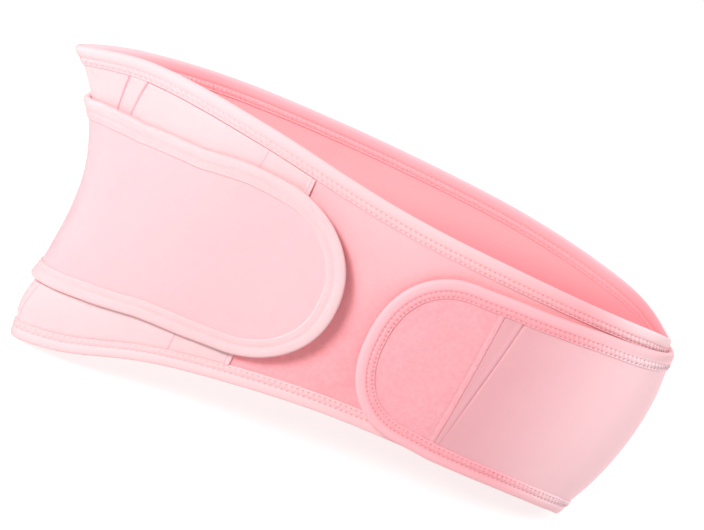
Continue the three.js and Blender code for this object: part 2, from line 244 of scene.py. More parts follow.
def fullness(wing, place):
    # 1 along the wing, and down to 0 round its tip
    left = min(max((wing["tipFrom"] - place) / (wing["tipFrom"] - wing["tipAt"]), 0), 1)
    return (1 - left ** tipSquareness) ** (1 / tipSquareness)


def wingEdges(wing, place, inset=0.0):
    low, high, _ = wingRow(wing, place)
    half = ((high - low) / 2 - inset) * fullness(wing, place)
    return (low + high) / 2 - half, (low + high) / 2 + half


def tipPlaces(wing, count, lastTurn=87):
    # from the tip's end inward, closest at the end
    reach = wing["tipAt"] - wing["tipFrom"]
    turns = [math.radians(lastTurn * (1 - i / count)) for i in range(count)]
    return [wing["tipFrom"] + reach * math.sin(turn) ** (2 / tipSquareness) for turn in turns]


def stepsBetween(start, stop, step):
    count = max(2, round(abs(stop - start) / step))
    return [mixed(start, stop, i / count) for i in range(count + 1)]


def finishedPiece(name, bm, material, node, flip=False):
    if flip:
        bmesh.ops.reverse_faces(bm, faces=bm.faces)
    for face in bm.faces:
        face.smooth = True
    mesh = bpy.data.meshes.new(name)
    bm.to_mesh(mesh)
    bm.free()
    piece = bpy.data.objects.new(name, mesh)
    bpy.context.collection.objects.link(piece)
    for each in material if isinstance(material, list) else [material]:
        mesh.materials.append(each)
    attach(piece, "root")
    if node:
        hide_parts(node)
    print(name, len(mesh.polygons), "faces")
    return piece


def thickened(piece, thickness, bevel=0.3 * mm, lining=False):
    solid = piece.modifiers.new("thickness", "SOLIDIFY")
    solid.thickness = thickness
    solid.offset = 0
    if lining:
        solid.material_offset = 1
    if bevel:
        soft = piece.modifiers.new("softEdge", "BEVEL")
        soft.width = bevel
        soft.segments = 2
        soft.limit_method = "ANGLE"
        soft.angle_limit = math.radians(55)
    return piece


def clothGrid(count, rows, pointAt, materialAt=None):
    bm = bmesh.new()
    layer = bm.loops.layers.uv.new("cloth")
    bmesh.ops.create_grid(bm, x_segments=count, y_segments=rows, size=0.5)
    if materialAt:
        for face in bm.faces:
            face.material_index = materialAt(math.floor((face.calc_center_median().x + 0.5) * count))
    flat = {}
    for vert in bm.verts:
        i, j = round((vert.co.x + 0.5) * count), round((vert.co.y + 0.5) * rows)
        vert.co, flat[vert] = pointAt(i, j)
    for face in bm.faces:
        for loop in face.loops:
            loop[layer].uv = flat[loop.vert]
    return bm


def clothArea(bm):
    return sum(face.calc_area() for face in bm.faces)


# shader groups: an input without a value is a vector
def newGroup(name, inputs, outputs):
    group = bpy.data.node_groups.new(name, "ShaderNodeTree")
    for label, value in inputs.items():
        kind = "NodeSocketVector" if value is None else "NodeSocketFloat"
        socket = group.interface.new_socket(name=label, in_out="INPUT", socket_type=kind)
        if value is not None:
            socket.default_value = value
    for label in outputs:
        group.interface.new_socket(name=label, in_out="OUTPUT", socket_type="NodeSocketFloat")
    return group, group.nodes.new("NodeGroupInput").outputs, group.nodes.new("NodeGroupOutput").inputs


def plug(tree, source, target):
    if isinstance(source, (int, float)):
        target.default_value = source
    else:
        tree.links.new(source, target)


def mathNode(tree, operation, *values):
    node = tree.nodes.new("ShaderNodeMath")
    node.operation = operation
    for value, socket in zip(values, node.inputs):
        plug(tree, value, socket)
    return node.outputs[0]


def plus(tree, a, b):
    return mathNode(tree, "ADD", a, b)


def times(tree, a, b):
    return mathNode(tree, "MULTIPLY", a, b)


def splitNode(tree, vector):
    node = tree.nodes.new("ShaderNodeSeparateXYZ")
    plug(tree, vector, node.inputs[0])
    return node.outputs


def noiseNode(tree, vector, scale, detail=2.0, roughness=0.5):
    node = tree.nodes.new("ShaderNodeTexNoise")
    node.inputs["Detail"].default_value = detail
    node.inputs["Roughness"].default_value = roughness
    plug(tree, scale, node.inputs["Scale"])
    plug(tree, vector, node.inputs["Vector"])
    return node.outputs[0]


def rangeNode(tree, value, low, high, to0=0.0, to1=1.0, kind="SMOOTHSTEP"):
    node = tree.nodes.new("ShaderNodeMapRange")
    node.interpolation_type = kind
    ends = (("Value", value), ("From Min", low), ("From Max", high), ("To Min", to0), ("To Max", to1))
    for label, amount in ends:
        plug(tree, amount, node.inputs[label])
    return node.outputs["Result"]


def mixedColour(tree, share, colour, target):
    node = tree.nodes.new("ShaderNodeMix")
    node.data_type = "RGBA"
    plug(tree, share, node.inputs["Factor"])
    plug(tree, colour, node.inputs["A"])
    node.inputs["B"].default_value = (*target, 1)
    return node.outputs["Result"]


def placedGroup(tree, group, values, links):
    node = tree.nodes.new("ShaderNodeGroup")
    node.node_tree = group
    for label, value in (values | links).items():
        plug(tree, value, node.inputs[label])
    return node.outputs


def buildNap():
    group, given, out = newGroup("brushedNap", {"Object": None, "Tuft Size": 900.0, "Patch Size": 55.0},
                                 ["Shade", "Height"])
    fine = noiseNode(group, given["Object"], given["Tuft Size"], 3.0, 0.65)
    tuft = noiseNode(group, given["Object"], times(group, given["Tuft Size"], 0.35), 2.0, 0.6)
    patch = noiseNode(group, given["Object"], given["Patch Size"])
    grain = plus(group, times(group, fine, 0.5), times(group, tuft, 0.5))
    spread = rangeNode(group, grain, 0.36, 0.66)
    plug(group, plus(group, times(group, spread, 0.6), times(group, patch, 0.4)), out["Shade"])
    plug(group, grain, out["Height"])
    return group


def buildKnit():
    sizes = {"Flat": None, "Wale": 0.9 * mm, "Course": 0.7 * mm, "Object": None}
    group, given, out = newGroup("fineKnit", sizes, ["Shade", "Height"])
    flat = splitNode(group, given["Flat"])
    drift = noiseNode(group, given["Object"], 260.0)
    shift = times(group, mathNode(group, "SUBTRACT", drift, 0.5), 1.1 * mm)
    across = mathNode(group, "DIVIDE", plus(group, flat["X"], shift), given["Wale"])
    upward = mathNode(group, "DIVIDE", plus(group, flat["Y"], shift), given["Course"])
    wales = mathNode(group, "SINE", times(group, across, math.tau))
    courses = mathNode(group, "SINE", times(group, upward, math.tau))
    weave = times(group, plus(group, wales, times(group, courses, 0.7)), 0.29)
    height = plus(group, weave, 0.5)
    patch = noiseNode(group, given["Object"], 42.0)
    lint = noiseNode(group, given["Object"], 1500.0, 2.0, 0.6)
    shade = plus(group, times(group, height, 0.35), times(group, patch, 0.4))
    plug(group, plus(group, shade, times(group, lint, 0.25)), out["Shade"])
    plug(group, plus(group, height, times(group, lint, 0.4)), out["Height"])
    return group


def buildHoles():
    sizes = {"Flat": None, "Pitch": 3.9 * mm, "Row One": 6.5 * mm, "Row Two": 10.3 * mm, "Object": None}
    group, given, out = newGroup("needleHoles", sizes, ["Mask", "Trough"])
    reach = splitNode(group, given["Object"])
    # painted light: the holes fade toward the left fold, where the light is brightest
    washedOutByLight = rangeNode(group, reach["X"], -0.13, 0.03, 0.22, 1.0)  # fainter toward the left fold
    flat = splitNode(group, given["Flat"])
    half = times(group, given["Pitch"], 0.5)

    def distance(shifted, row):
        run = mathNode(group, "PINGPONG", shifted, half)
        off = mathNode(group, "SUBTRACT", flat["Y"], given[row])
        both = plus(group, times(group, run, run), times(group, off, off))
        return mathNode(group, "SQRT", both), mathNode(group, "ABSOLUTE", off)

    one, offOne = distance(flat["X"], "Row One")
    two, offTwo = distance(plus(group, flat["X"], half), "Row Two")
    mask = rangeNode(group, mathNode(group, "MINIMUM", one, two), 0.40 * mm, 1.05 * mm, 1.0, 0.0)
    trough = rangeNode(group, mathNode(group, "MINIMUM", offOne, offTwo), 0.0, 1.1 * mm, 1.0, 0.0)
    plug(group, times(group, mask, washedOutByLight), out["Mask"])
    plug(group, times(group, trough, washedOutByLight), out["Trough"])
    return group


def buildSewnLine():
    # a slanted line across flat cloth, from Low at its foot to High at its Height
    sizes = {"Flat": None, "Low": 0.0, "High": 0.0, "Height": 0.2, "Width": 1.0 * mm}
    group, given, out = newGroup("sewnLine", sizes, ["Mask"])
    flat = splitNode(group, given["Flat"])
    level = mathNode(group, "DIVIDE", flat["Y"], given["Height"])
    reach = mathNode(group, "SUBTRACT", given["High"], given["Low"])
    line = plus(group, given["Low"], times(group, reach, level))
    away = mathNode(group, "ABSOLUTE", mathNode(group, "SUBTRACT", flat["X"], line))
    half = times(group, given["Width"], 0.5)
    plug(group, rangeNode(group, away, times(group, half, 0.4), half, 1.0, 0.0), out["Mask"])
    return group


nap, knit, holes, sewnLine = buildNap(), buildKnit(), buildHoles(), buildSewnLine()


def clothMaterial(name, look):
    material = bpy.data.materials.new(name)
    material.use_nodes = True
    tree = material.node_tree
    shader = tree.nodes["Principled BSDF"].inputs
    shader["Sheen Weight"].default_value = look["sheen"]
    shader["Sheen Roughness"].default_value = 0.45
    shader["Sheen Tint"].default_value = (*look["light"], 1)
    shader["Specular IOR Level"].default_value = 0.2
    if look.get("glow"):
        shader["Subsurface Weight"].default_value = look["glow"]
        shader["Subsurface Radius"].default_value = (6 * mm, 1.5 * mm, 1.5 * mm)
        shader["Subsurface Scale"].default_value = 1.0
    place = tree.nodes.new("ShaderNodeTexCoord").outputs["Object"]
    flatNode = tree.nodes.new("ShaderNodeUVMap")
    flatNode.uv_map = "cloth"
    flat = flatNode.outputs["UV"]
    links = {"Object": place, "Flat": flat} if look["weave"] is knit else {"Object": place}
    weave = placedGroup(tree, look["weave"], look["weaveSizes"], links)
    relief = weave["Height"]

    blend = tree.nodes.new("ShaderNodeMix")
    blend.data_type = "RGBA"
    blend.inputs["A"].default_value = (*look["dark"], 1)
    blend.inputs["B"].default_value = (*look["light"], 1)
    plug(tree, weave["Shade"], blend.inputs["Factor"])
    colour = blend.outputs["Result"]
    # painted light and shade: the colour moves toward a lighter or darker one along an object axis
    for target, axis, start, stop in look.get("paintedShading", []):
        reach = splitNode(tree, place)
        colour = mixedColour(tree, rangeNode(tree, reach[axis], start, stop), colour, target)
    # painted highlight: the tape's rounded crown near its edge is coloured lighter
    if look.get("crown"):
        target, strength = look["crown"]
        depth = splitNode(tree, flat)
        share = rangeNode(tree, depth["Y"], 3.0 * mm, 6.2 * mm, strength, 0.0)
        colour = mixedColour(tree, share, colour, target)
    for low, high, height, width, strength in look.get("lines", []):
        sizes = {"Low": low, "High": high, "Height": height, "Width": width}
        line = placedGroup(tree, sewnLine, sizes, {"Flat": flat})
        colour = mixedColour(tree, times(tree, line["Mask"], strength), colour, look["seam"])
    if look.get("stitched"):
        # painted shade: the needle holes are coloured darker, as shade inside them; their troughs lower the
        # bump
        pricks = placedGroup(tree, holes, {"Pitch": look["stitched"]}, {"Flat": flat, "Object": place})
        colour = mixedColour(tree, times(tree, pricks["Mask"], look["holeDepth"]), colour, look["hole"])
        lowered = plus(tree, times(tree, pricks["Mask"], 2.2), pricks["Trough"])
        relief = mathNode(tree, "SUBTRACT", relief, times(tree, lowered, look["holeDepth"]))
    plug(tree, colour, shader["Base Color"])

    rough = rangeNode(tree, weave["Shade"], 0.2, 0.8, look["rough"] - 0.08, look["rough"] + 0.06, "LINEAR")
    plug(tree, rough, shader["Roughness"])
    bump = tree.nodes.new("ShaderNodeBump")
    bump.inputs["Strength"].default_value = look["bump"]
    bump.inputs["Distance"].default_value = look["relief"]
    plug(tree, relief, bump.inputs["Height"])
    plug(tree, bump.outputs["Normal"], shader["Normal"])
    return material


pitch = 3.9 * mm
stripMiddle = 0.5
stripRun = (wallPoint(seamLine(stripMiddle) + panel["seamStrip"], stripMiddle)
            - wallPoint(seamLine(stripMiddle), stripMiddle)).length


def hemRun(place, seam):
    return (place - panel["from"]) / (seam - panel["from"]) * panel["flatRun"]


# finishes that several looks share, and the looks: colours are linear; a colour that moves along an axis is
# painted light or shade, given as a colour, an axis and where along it the colour starts and is reached;
# a line is low, high, height, width and strength
velourFinish = {"weave": nap, "weaveSizes": {"Tuft Size": 900.0, "Patch Size": 50.0}, "rough": 0.93,
                "sheen": 0.2, "bump": 0.5, "relief": 0.35 * mm}
knitFinish = {"weave": knit, "weaveSizes": {"Wale": 0.9 * mm, "Course": 0.7 * mm}, "rough": 0.88,
              "sheen": 0.2, "glow": 0.3, "bump": 0.3, "relief": 0.12 * mm}
paleFinish = dict(knitFinish, light=(0.77, 0.49, 0.505), dark=(0.75, 0.46, 0.475), seam=(0.68, 0.24, 0.30))
tapeFinish = {"weave": knit, "weaveSizes": {"Wale": 0.8 * mm, "Course": 1.6 * mm}, "rough": 0.8,
              "sheen": 0.2, "bump": 0.35, "relief": 0.15 * mm,
              "stitched": pitch, "holeDepth": 0.8, "prick": 0.8}
threadFinish = {"weave": nap, "weaveSizes": {"Tuft Size": 3000.0, "Patch Size": 60.0}, "rough": 0.7,
                "sheen": 0.1, "bump": 0.2, "relief": 0.05 * mm}
seamEnd = panel["flatRun"] - 0.3 * mm
looks = {
    # painted light: the velour is coloured lighter toward the top
    "velour": dict(
        velourFinish, light=(0.86, 0.38, 0.41), dark=(0.79, 0.30, 0.33), glow=0.4,
        paintedShading=[((0.87, 0.44, 0.465), "Z", 0.08, 0.21)]),
    # painted shade: the lining is coloured darker low in the hollow and toward the right fold
    "lining": {
        "light": (0.94, 0.43, 0.455), "dark": (0.91, 0.385, 0.41), "weave": knit,
        "weaveSizes": {"Wale": 0.8 * mm, "Course": 1.1 * mm}, "rough": 0.85, "sheen": 0.15, "bump": 0.25,
        "relief": 0.12 * mm,
        "paintedShading": [((0.93, 0.22, 0.255), "Z", 0.160, 0.117), ((0.92, 0.24, 0.27), "X", 0.17, 0.24)]},
    "palePanel": dict(
        paleFinish,
        lines=[(seamEnd, seamEnd, 0.2, 3.0 * mm, 0.9),
               (hemRun(panel["hemLow"], panel["seamLow"]), hemRun(panel["hemHigh"], panel["seamHigh"]),
                0.19, 1.4 * mm, 0.5),
               (2.9 * mm, 2.9 * mm, 0.2, 1.0 * mm, 0.5)]),
    "paleBack": dict(paleFinish, lines=[(stripRun, stripRun, 0.2, 1.3 * mm, 0.7)]),
    # painted light: the tape is coloured paler toward the left and again at the far right
    "bandTape": dict(
        tapeFinish, light=(0.84, 0.39, 0.42), dark=(0.82, 0.35, 0.38), hole=(0.82, 0.20, 0.25),
        paintedShading=[((0.80, 0.475, 0.49), "X", 0.17, 0.02), ((0.88, 0.63, 0.65), "X", 0.13, 0.20)]),
    # painted shade: the tape's inner face is coloured darker toward the right fold
    "insideTape": dict(
        tapeFinish, light=(0.94, 0.46, 0.49), dark=(0.92, 0.40, 0.43), hole=(0.80, 0.24, 0.29),
        paintedShading=[((0.93, 0.27, 0.30), "X", 0.175, 0.23)], bump=0.3, relief=0.13 * mm, holeDepth=0.4),
    "leftWingCloth": dict(knitFinish, light=(0.75, 0.44, 0.465), dark=(0.73, 0.41, 0.435)),
    # paler than the other tapes: partly the tape's own colour, partly painted light from the bright left side
    "leftTape": dict(
        tapeFinish, light=(0.75, 0.47, 0.485), dark=(0.73, 0.44, 0.455), hole=(0.72, 0.34, 0.38), glow=0.3,
        bump=0.25, relief=0.10 * mm, holeDepth=0.12, prick=0.3),
    "rightTipVelour": dict(velourFinish, light=(0.84, 0.38, 0.415), dark=(0.78, 0.30, 0.335), glow=0.3),
    # painted light: the elastic is coloured paler toward the right
    "elastic": {
        "light": (0.69, 0.345, 0.375), "dark": (0.65, 0.31, 0.34), "weave": knit,
        "weaveSizes": {"Wale": 1.2 * mm, "Course": 0.9 * mm}, "rough": 0.86, "sheen": 0.2, "bump": 0.4,
        "relief": 0.18 * mm, "paintedShading": [((0.91, 0.605, 0.635), "X", 0.08, 0.23)], "seam": (0.62, 0.20, 0.26),
        "lines": [(perStation * foldAt["low"], perStation * foldAt["high"],
                   foldAt["height"] * wallHeight(foldAt["middle"]), 1.0 * mm, 0.55)]},
    # painted light: the tape is coloured paler toward the right; its crown colour is a painted highlight
    "rightTape": dict(
        tapeFinish, light=(0.84, 0.37, 0.405), dark=(0.80, 0.33, 0.365), hole=(0.78, 0.16, 0.21),
        paintedShading=[((0.88, 0.66, 0.69), "X", 0.125, 0.20)], crown=((0.82, 0.43, 0.46), 0.6)),
    "hookTape": {
        "light": (0.80, 0.42, 0.46), "dark": (0.70, 0.32, 0.36), "weave": nap,
        "weaveSizes": {"Tuft Size": 1400.0, "Patch Size": 80.0}, "rough": 0.7, "sheen": 0.1, "bump": 0.8,
        "relief": 0.4 * mm},
    # paler like the left wing's tape: partly its own colour, partly painted light from the bright left side
    "paleThread": dict(threadFinish, light=(0.75, 0.47, 0.485), dark=(0.73, 0.45, 0.465)),
    # painted light: the thread is coloured paler toward the left and again at the far right
    "bandThread": dict(
        threadFinish, light=(0.84, 0.42, 0.45), dark=(0.82, 0.37, 0.40),
        paintedShading=[((0.80, 0.485, 0.50), "X", 0.17, 0.02), ((0.87, 0.60, 0.62), "X", 0.13, 0.20)]),
    # painted shade: the thread is coloured darker toward the right fold
    "insideThread": dict(
        threadFinish, light=(0.94, 0.46, 0.49), dark=(0.92, 0.41, 0.44),
        paintedShading=[((0.93, 0.27, 0.30), "X", 0.175, 0.23)]),
    # painted light: the thread is coloured paler toward the right
    "pinkThread": dict(
        threadFinish, light=(0.84, 0.41, 0.44), dark=(0.81, 0.36, 0.39),
        paintedShading=[((0.86, 0.62, 0.65), "X", 0.13, 0.21)]),
}
materials = {name: clothMaterial(name, look) for name, look in looks.items()}
print("materials made")


def arcLengths(points, closed):
    run = [0.0]
    for a, b in zip(points, points[1:] + (points[:1] if closed else [])):
        run.append(run[-1] + (b - a).length)
    return run


def makeBand():
    # columns lean with the slanted seams beside them, and lie closer there
    shape = {"step": 0.034, "fineStep": 0.006, "fineReach": 0.036, "rows": 52, "leanReach": 1.6,
             "strip": 0.25 * mm, "groove": 0.55 * mm, "grooveWidth": 0.011, "underPanel": 0.10}
    seamB = seamLine(0.5)
    seamA = seamB + panel["seamStrip"]
    near, far = seamB - shape["fineReach"], seamA + shape["fineReach"]
    start = leftWing["end"] - around
    places = stepsBetween(start, near, shape["step"]) + stepsBetween(near, far, shape["fineStep"])[1:]
    places += stepsBetween(far, leftWing["end"], shape["step"])[1:]
    run = arcLengths([wallPoint(place, 0.5) for place in places], False)
    seamRun = run[min(range(len(places)), key=lambda i: abs(places[i] - seamB))]

    def pointAt(i, j):
        share = j / shape["rows"]
        nearness = eased(1 - abs(places[i] - (seamA + seamB) / 2) / shape["leanReach"])
        place = places[i] + (seamLine(share) - seamB) * nearness
        groove = bell(places[i] - seamB, shape["grooveWidth"]) + bell(places[i] - seamA, shape["grooveWidth"])
        rise = (shape["strip"] if seamB < places[i] < seamA else 0) - shape["groove"] * groove
        point = clothPoint(place, share, onBand) + wallNormal(place, share) * rise
        return point, (run[i] - seamRun, share * wallHeight(place))

    def materialAt(i):
        return 2 if places[i] > panel["from"] + shape["underPanel"] else 0

    bm = clothGrid(len(places) - 1, shape["rows"], pointAt, materialAt)
    area = clothArea(bm)
    bmesh.ops.remove_doubles(bm, verts=bm.verts, dist=0.02 * mm)
    faces = [materials["velour"], materials["lining"], materials["paleBack"], materials["lining"]]
    piece = finishedPiece("mainBand", bm, faces, "main_band", flip=True)
    thickened(piece, cloth["band"], bevel=0, lining=True)
    return piece, area


mainBand, bandArea = makeBand()


def makePanel():
    shape = {
        "across": 84, "crowding": 1.25, "lastRuns": [0.994, 0.998, 1.0], "rows": 60,
        "ridge": 0.35 * mm, "ridgeAt": 1.4 * mm, "ridgeWidth": 1.5 * mm,
        "fold": 0.315 * mm, "foldAt": 4.2 * mm, "foldWidth": 0.9 * mm,
        "stitchDepth": 0.4 * mm, "stitchWidth": 0.8 * mm, "rimDip": 0.42 * mm, "rimReach": 5 * mm,
    }
    # closer by the free edge, and close again beside the seam
    runs = [(i / shape["across"]) ** shape["crowding"] for i in range(shape["across"])] + shape["lastRuns"]
    ride = cloth["band"] / 2 + panel["gap"] + cloth["panel"] / 2
    keep = tape["width"] + panel["edgeGap"]

    def placeAt(t, share):
        return mixed(panel["from"], seamLine(share), t)

    def pointAt(i, j):
        t = runs[i]
        low = keep / rimLength(placeAt(t, 0), 0)
        high = 1 - keep / rimLength(placeAt(t, 1), 1)
        share = mixed(low, high, j / shape["rows"])
        place = placeAt(t, share)
        base = wallPoint(place, share)
        stationLength = (wallPoint(place + 0.01, share) - wallPoint(place - 0.01, share)).length / 0.02
        fromEdge = (place - panel["from"]) * stationLength
        fromHem = (place - mixed(panel["hemLow"], panel["hemHigh"], share)) * stationLength
        fromRim = min(share - low, high - share) * wallHeight(place)
        rise = shape["ridge"] * bell(fromEdge - shape["ridgeAt"], shape["ridgeWidth"])
        rise -= shape["fold"] * bell(fromEdge - shape["foldAt"], shape["foldWidth"])
        rise -= shape["stitchDepth"] * bell(fromHem, shape["stitchWidth"])
        rise -= shape["rimDip"] * bell(fromRim, shape["rimReach"])
        point = base + wallNormal(place, share) * (ride + unevenness(base) + rise)
        return point, (t * panel["flatRun"], share * wallHeight(place))

    bm = clothGrid(len(runs) - 1, shape["rows"], pointAt)
    area = clothArea(bm)
    piece = finishedPiece("leftSidePanel", bm, materials["palePanel"], "left_side_panel",
                          flip=True)
    return thickened(piece, cloth["panel"], bevel=0.2 * mm), area


sidePanel, panelArea = makePanel()
print("band and panel made")


# tape sections: distance from the edge in mm and height in shares of the tape's thickness
tapeOuter = [
    (12.0, 0.05), (11.95, 0.25), (11.6, 0.55), (11.15, 0.78), (10.75, 0.80), (10.3, 0.62), (9.85, 0.80),
    (9.1, 0.95), (8.4, 0.98), (7.7, 0.95), (6.95, 0.80), (6.5, 0.62), (6.05, 0.84), (5.3, 1.10), (4.2, 1.32),
    (2.9, 1.42), (1.6, 1.38), (0.5, 1.20),
]
tapeCrown = [(-0.5, 0.80), (-1.15, 0.35), (-1.35, 0.0)]
tapePlain = [(12.0, 0.20), (12.0, 0.80), (11.0, 1.0), (7.0, 1.0), (3.0, 1.15), (0.8, 1.1)]
rowOne, rowTwo, sectionsPerStitch = 6.5, 10.3, 6
pull = {  # how the thread draws the tape in, in mm
    "hole": 0.30, "besideHole": 0.08, "holeWidth": 0.55, "pucker": 0.07, "puckerAt": 8.4, "puckerWidth": 2.2,
}


def edgeOfWing(wing):
    places = tipPlaces(wing, 90) + stepsBetween(wing["tipFrom"], wing["end"], 0.01)
    upper = [(place, wingEdges(wing, place)[1]) for place in places]
    lower = [(place, wingEdges(wing, place)[0]) for place in places]
    return upper[::-1] + lower


def evenFrames(marks, closed, ride, step):
    # even spots along the marks, a whole number of stitches on a closed tape
    points = [clothPoint(place, share, ride) for place, share in marks]
    run = arcLengths(points, closed)
    total = run[-1]
    count = round(total / step)
    if closed:
        count = round(count / sectionsPerStitch) * sectionsPerStitch
    spots, k = [], 0
    for n in range(count if closed else count + 1):
        want = total * n / count
        while k < len(run) - 2 and run[k + 1] < want:
            k += 1
        t = (want - run[k]) / max(run[k + 1] - run[k], 1e-9)
        a, b = marks[k], marks[(k + 1) % len(marks)]
        reach = b[0] - a[0]
        if closed and abs(reach) > around / 2:
            reach += around if reach < 0 else -around
        spots.append((want, a[0] + reach * t, mixed(a[1], b[1], t)))
    return spots, total, total / count


def inwardSteps(spots, closed, sign, ride):
    # at each spot, the cloth's points and normals at the tape's edge, middle and inner edge
    frames = []
    last = len(spots) - 1
    nudge = 0.01
    for n, (run, place, share) in enumerate(spots):
        before = spots[n - 1 if (closed or n) else 0]
        after = spots[(n + 1) % len(spots) if closed else min(n + 1, last)]
        across = after[1] - before[1]
        if closed and abs(across) > around / 2:
            across += around if across < 0 else -around
        nudged = clothPoint(place + nudge, share, ride) - clothPoint(place - nudge, share, ride)
        placeLength = nudged.length / (2 * nudge)
        shareLength = rimLength(place, share) if closed else wallHeight(place)
        alongX, alongY = across * placeLength, (after[2] - before[2]) * shareLength
        scale = sign / max(math.hypot(alongX, alongY), 1e-9)
        stepPlace, stepShare = alongY * scale / placeLength, -alongX * scale / shareLength
        spotsIn = []
        for depth in (0, tape["width"] / 2, tape["width"]):
            at = (place + stepPlace * depth, share + stepShare * depth)
            spotsIn.append((clothPoint(*at, ride), clothNormal(*at, ride)))
        frames.append((run, spotsIn))
    return frames


def onFrame(section, depth, out):
    (p0, n0), (p1, n1), (p2, n2) = section[1]
    t = depth / (tape["width"] / 2)
    if t < 0:
        return p0 + (p0 - p1) * -t + n0 * out
    w0, w1, w2 = (1 - t) * (2 - t) / 2, t * (2 - t), t * (t - 1) / 2
    return p0 * w0 + p1 * w1 + p2 * w2 + (n0 * w0 + n1 * w1 + n2 * w2) * out


def tapeProfile(thickness, innerStitched, prick):
    # from the inner edge over the outer face, round the crown, back on the inner face and along the cloth
    inside = thickness / 2 + tape["gap"] * 0.5
    lift = tape["thickness"] + tape["gap"] * 0.5
    outer = [(d * mm, inside + (mixed(0.90, h, prick) if 6 < d < 11 else h) * lift) for d, h in tapeOuter]
    crown = [(d * mm, inside * (h / 0.8) + h * lift) for d, h in tapeCrown]
    inner = [(d * mm, -inside - h * lift) for d, h in (tapeOuter if innerStitched else tapePlain)]
    under = [(12 * mm, -inside), (-0.2 * mm, -inside), (-0.2 * mm, inside), (12 * mm, inside)]
    return outer + crown + [(d, -o) for d, o in crown[:-1]][::-1] + inner[::-1] + under


def makeTape(name, node, marks, closed, sign, ride, thickness, outerLook, innerLook, innerStitched):
    spots, total, step = evenFrames(marks, closed, ride, pitch / sectionsPerStitch)
    frames = inwardSteps(spots, closed, sign, ride)
    prick = looks[outerLook]["prick"]
    profile = tapeProfile(thickness, innerStitched, prick)
    count = len(frames) if closed else len(frames) - 1
    stitch = step * sectionsPerStitch

    def pointAt(i, j):
        section = frames[i % len(frames)]
        depth, out = profile[j % len(profile)]
        phase = i % sectionsPerStitch
        if abs(out) > thickness / 2 + tape["gap"]:
            dip = 0.0
            for row, at in ((rowOne, 0), (rowTwo, sectionsPerStitch // 2)):
                apart = min(abs(phase - at), sectionsPerStitch - abs(phase - at))
                if apart < 2:
                    sink = pull["hole"] if apart == 0 else pull["besideHole"]
                    dip += sink * bell(depth / mm - row, pull["holeWidth"])
            wave = math.cos(math.tau * phase / sectionsPerStitch)
            pucker = pull["pucker"] * wave * bell(depth / mm - pull["puckerAt"], pull["puckerWidth"])
            out = math.copysign(abs(out) + (pucker - dip) * prick * mm, out)
        point = onFrame(section, depth, out)
        point.z = max(point.z, 0)
        flatRun = section[0] if i < len(frames) else total
        return point, (flatRun * pitch / stitch, max(depth, 0))

    bm = clothGrid(count, len(profile), pointAt)
    turned = len(tapeOuter) + len(tapeCrown) - 1
    for number, face in enumerate(bm.faces):
        face.material_index = 1 if turned <= number // count < len(profile) - 3 else 0
    bmesh.ops.remove_doubles(bm, verts=bm.verts, dist=0.01 * mm)
    if not closed:
        ends = [edge for edge in bm.edges if edge.is_boundary]
        bmesh.ops.holes_fill(bm, edges=ends, sides=0)
    bmesh.ops.recalc_face_normals(bm, faces=bm.faces)
    piece = finishedPiece(name, bm, [materials[outerLook], materials[innerLook]], node)
    return piece, frames


def makeThread(name, frames, closed, thickness, side, look, sunk=0.0):
    # a zigzag of thin cord that arches from hole to hole
    face = thickness / 2 + tape["gap"] * 0.5 + (tape["thickness"] + tape["gap"] * 0.5) * 0.95 - sunk
    arch = [(0.0, -0.45), (0.22, 0.10), (0.5, 0.20), (0.78, 0.10)]
    half = sectionsPerStitch // 2
    spline = []
    count = len(frames) // half - (0 if closed else 1)
    for k in range(count):
        a, b = frames[k * half], frames[(k * half + half) % len(frames)]
        rows = (rowOne, rowTwo) if k % 2 == 0 else (rowTwo, rowOne)
        for t, height in arch:
            near = onFrame(a, mixed(rows[0], rows[1], t) * mm, (face + height * mm) * side)
            far = onFrame(b, mixed(rows[0], rows[1], t) * mm, (face + height * mm) * side)
            spline.append(near.lerp(far, t))
    curve = bpy.data.curves.new(name, "CURVE")
    curve.dimensions = "3D"
    curve.bevel_depth = 0.2 * mm
    curve.bevel_resolution = 1
    line = curve.splines.new("POLY")
    line.points.add(len(spline) - 1)
    for point, spot in zip(line.points, spline):
        point.co = (*spot, 1)
    line.use_cyclic_u = closed
    holder = bpy.data.objects.new(name + "Line", curve)
    bpy.context.collection.objects.link(holder)
    evaluated = holder.evaluated_get(bpy.context.evaluated_depsgraph_get())
    mesh = bpy.data.meshes.new_from_object(evaluated)
    bpy.data.objects.remove(holder)
    mesh.name = name
    for face in mesh.polygons:
        face.use_smooth = True
    mesh.materials.clear()
    mesh.materials.append(materials[look])
    piece = bpy.data.objects.new(name, mesh)
    bpy.context.collection.objects.link(piece)
    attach(piece, "root")
    print(name, len(mesh.polygons), "faces")
    return piece


trims = []
loopMarks, loopStart = 1500, 9.0  # the tapes' ends meet on the back
for name, node, edge in (("topBinding", "top_binding", 1), ("bottomBinding", "bottom_binding", 0)):
    marks = [(loopStart + around * i / loopMarks, edge) for i in range(loopMarks)]
    binding, frames = makeTape(name, node, marks, True, 1 if edge else -1, onBand, cloth["band"], "bandTape",
                               "insideTape", True)
    outside = makeThread(name + "StitchesOutside", frames, True, cloth["band"], 1, "bandThread")
    inside = makeThread(name + "StitchesInside", frames, True, cloth["band"], -1, "insideThread")
    trims += [binding, outside, inside]
print("loop bindings made")


def outlineTree(wing, ride):
    # tells how far a point of the sheet is from the wing's edge
    marks = edgeOfWing(wing)
    tree = kdtree.KDTree(len(marks))
    for n, (place, share) in enumerate(marks):
        tree.insert(clothPoint(place, share, ride), n)
    tree.balance()
    return tree


